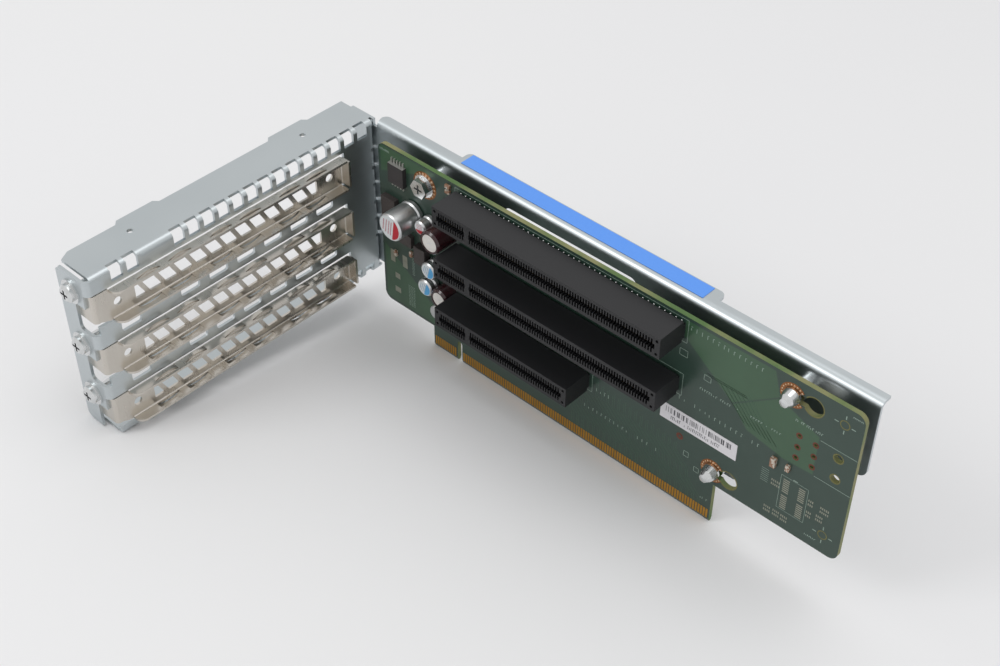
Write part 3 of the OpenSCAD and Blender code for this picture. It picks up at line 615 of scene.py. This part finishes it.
white_film = print_material("White polyester label", "#CDCBCF", "#DAD8DB")
black_print = print_material("Thermal transfer print", "#3A3A3E", "#54545A")
coat(white_film, "barcode_label", "part_label")
low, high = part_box("barcode_label")
x0, x1, z0, z1 = low.x / MM, high.x / MM, low.z / MM, high.z / MM
bars, x = [], x0 + 2.0
while x < x1 - 2.2:
    width = dice.choice((0.16, 0.16, 0.32, 0.48))
    bars.append(block(x, z1 - 3.1, x + width, z1 - 1.0))
    x += width + dice.choice((0.2, 0.2, 0.36, 0.7))
bars += ticks(x0 + 3.4, x1 - 6, z0 + 1.0, 1.3, dice, 0.62)
plates("barcode_print", bars, 0.02, black_print, low.y)
low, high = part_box("part_label")
x0, x1, z0 = low.x / MM, high.x / MM, low.z / MM
plates("part_label_print", ticks(x0 + 2.0, x1 - 1.6, z0 + 1.1, 1.2, dice, 0.62)
       + ticks(x0 + 6.0, x1 - 4.6, z0 + 3.3, 0.9, dice, 0.6), 0.02, black_print, low.y)

blue_film = print_material("Blue polyester label", "#5290E9", "#5C99EF")
coat(blue_film, "touch_label")

# ----------------------------------------------------- Cage: plate and panel
# The back plate and the rear panel are folded from 1 mm zinc-plated steel.
# Rolling leaves a faint grain along the sheet; the zinc is satin and bluish.


def sheet_steel(name, dark, light, rough, grain_scale):
    """Plated sheet steel: cloudy tone, long rolling grain and a fine bump."""
    material, tree, shader, place = start_material(name)
    cloud = add(tree, "ShaderNodeTexNoise", {"Scale": 1 / (22 * MM), "Detail": 3},
                {"Vector": place.outputs["Object"]})
    stretch = add(tree, "ShaderNodeMapping", {"Scale": grain_scale},
                  {"Vector": place.outputs["Object"]})
    grain = add(tree, "ShaderNodeTexNoise", {"Scale": 1.0, "Detail": 4},
                {"Vector": stretch.outputs["Vector"]})
    blend = add(tree, "ShaderNodeMath", {"operation": "MULTIPLY_ADD", 1: 0.5},
                {0: cloud.outputs["Fac"]})
    half = add(tree, "ShaderNodeMath", {"operation": "MULTIPLY", 1: 0.5}, {0: grain.outputs["Fac"]})
    tree.links.new(half.outputs[0], blend.inputs[2])
    tone = add(tree, "ShaderNodeMix", {"data_type": "RGBA", 6: linear(dark), 7: linear(light)},
               {0: blend.outputs[0]})
    tree.links.new(tone.outputs[2], shader.inputs["Base Color"])
    shader.inputs["Metallic"].default_value = 1.0
    satin = add(tree, "ShaderNodeMapRange", {"To Min": rough - 0.06, "To Max": rough + 0.06},
                {"Value": blend.outputs[0]})
    tree.links.new(satin.outputs["Result"], shader.inputs["Roughness"])
    bump = add(tree, "ShaderNodeBump", {"Strength": 0.06, "Distance": 0.02 * MM},
               {"Height": grain.outputs["Fac"]})
    tree.links.new(bump.outputs["Normal"], shader.inputs["Normal"])
    return material


zinc = sheet_steel("Zinc-plated steel sheet", "#BBC2C5", "#CBD1D3", 0.38, (40, 40, 1800))
coat(zinc, "rear_panel", "back_plate")

# Rivets are the same steel, upset cold, so they are smoother and brighter.
rivet = sheet_steel("Cold-upset rivet steel", "#A4A8AB", "#BCC0C2", 0.26, (900, 900, 900))
coat(rivet, "joining_rivets")

# ---------------------------------------------------------------- Slot covers
# Three ventilated covers of thinner sheet, nickel-plated: warmer and shinier
# than the cage. Lanced fingers spring against the opening's edges.

nickel = sheet_steel("Nickel-plated steel sheet", "#C4BEB5", "#D6D1C9", 0.28, (60, 900, 60))
coat(nickel, "slot_cover_1", "slot_cover_2", "slot_cover_3")

# ----------------------------------------------------------- Screws and studs
# Turned and headed steel with a bright nickel finish: the cover screws, the
# hexagon-headed board screw, the standoff and the two keyhole studs.

bright = sheet_steel("Bright nickel-plated fastener steel", "#CFD1D1", "#E0E1E1", 0.2, (700, 700, 700))
coat(bright, "cover_screw_1", "cover_screw_2", "cover_screw_3", "board_screw",
     "board_standoff", "upper_stud", "lower_stud")

# ----------------------------------------------------------- Floor and lights
# A matt pale table. The bracket rests on the tongue's edge and the panel's
# lower corner, so in the bracket's own frame the table leans.

panel_low, panel_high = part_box("rear_panel")
lean = math.atan2(panel_low.z, -panel_low.y)
FLOOR_HALF = 3.0
FLOOR_GAP = 0.05 * MM
floor_mesh = bpy.data.meshes.new("table")
floor_mesh.from_pydata([(sx * FLOOR_HALF, sy * FLOOR_HALF, -FLOOR_GAP)
                        for sx, sy in ((-1, -1), (1, -1), (1, 1), (-1, 1))], [], [(0, 1, 2, 3)])
table = bpy.data.objects.new("table", floor_mesh)
bpy.context.scene.collection.objects.link(table)
table.rotation_euler = (-lean, 0, 0)
card, _, shader, _ = mottled("Matt white card", "#E6E6E8", "#EAEAEA", 3.0, 2, 0.9)
shader.inputs["Specular IOR Level"].default_value = 0.1
floor_mesh.materials.append(card)

cad_low, cad_high = (Vector(corner) for corner in cad_corners)
middle = (cad_low + cad_high) / 2


def softbox(name, direction, distance, size, power):
    """A square soft lamp that looks at the middle of the bracket."""
    lamp = bpy.data.lights.new(name, "AREA")
    lamp.shape = "SQUARE"
    lamp.size = size
    lamp.energy = power
    holder = bpy.data.objects.new(name, lamp)
    bpy.context.scene.collection.objects.link(holder)
    toward = Vector(direction).normalized()
    holder.location = middle + toward * distance
    holder.rotation_euler = (-toward).to_track_quat("-Z", "Y").to_euler()


# Direction from the bracket, distance and size in metres, power in watts.
KEY_LIGHT = ((-0.42, -0.68, 0.75), 1.3, 0.45, 3.2)
TOP_LIGHT = ((0.1, 0.25, 1.0), 1.4, 0.9, 3.2)
softbox("key_light", *KEY_LIGHT)
softbox("top_light", *TOP_LIGHT)

world = bpy.data.worlds.new("Soft room")
bpy.context.scene.world = world
world.use_nodes = True
room = world.node_tree.nodes["Background"]
room.inputs["Color"].default_value = (0.985, 0.985, 0.985, 1)
room.inputs["Strength"].default_value = 0.8

# --------------------------------------------------------------------- Camera
# Above and to the right of the board, looking down along the cage.

CAMERA_PLACE = (0.23061, -0.28083, 0.36351)
CAMERA_TURN = (48.304, -0.264, 42.980)
CAMERA_LENS = 57.07
CAMERA_SENSOR = 36
camera = bpy.data.cameras.new("camera")
camera.lens = CAMERA_LENS
camera.sensor_width = CAMERA_SENSOR
viewer = bpy.data.objects.new("camera", camera)
bpy.context.scene.collection.objects.link(viewer)
viewer.location = CAMERA_PLACE
viewer.rotation_euler = tuple(math.radians(a) for a in CAMERA_TURN)
bpy.context.scene.camera = viewer
bpy.context.scene.view_settings.view_transform = "Standard"
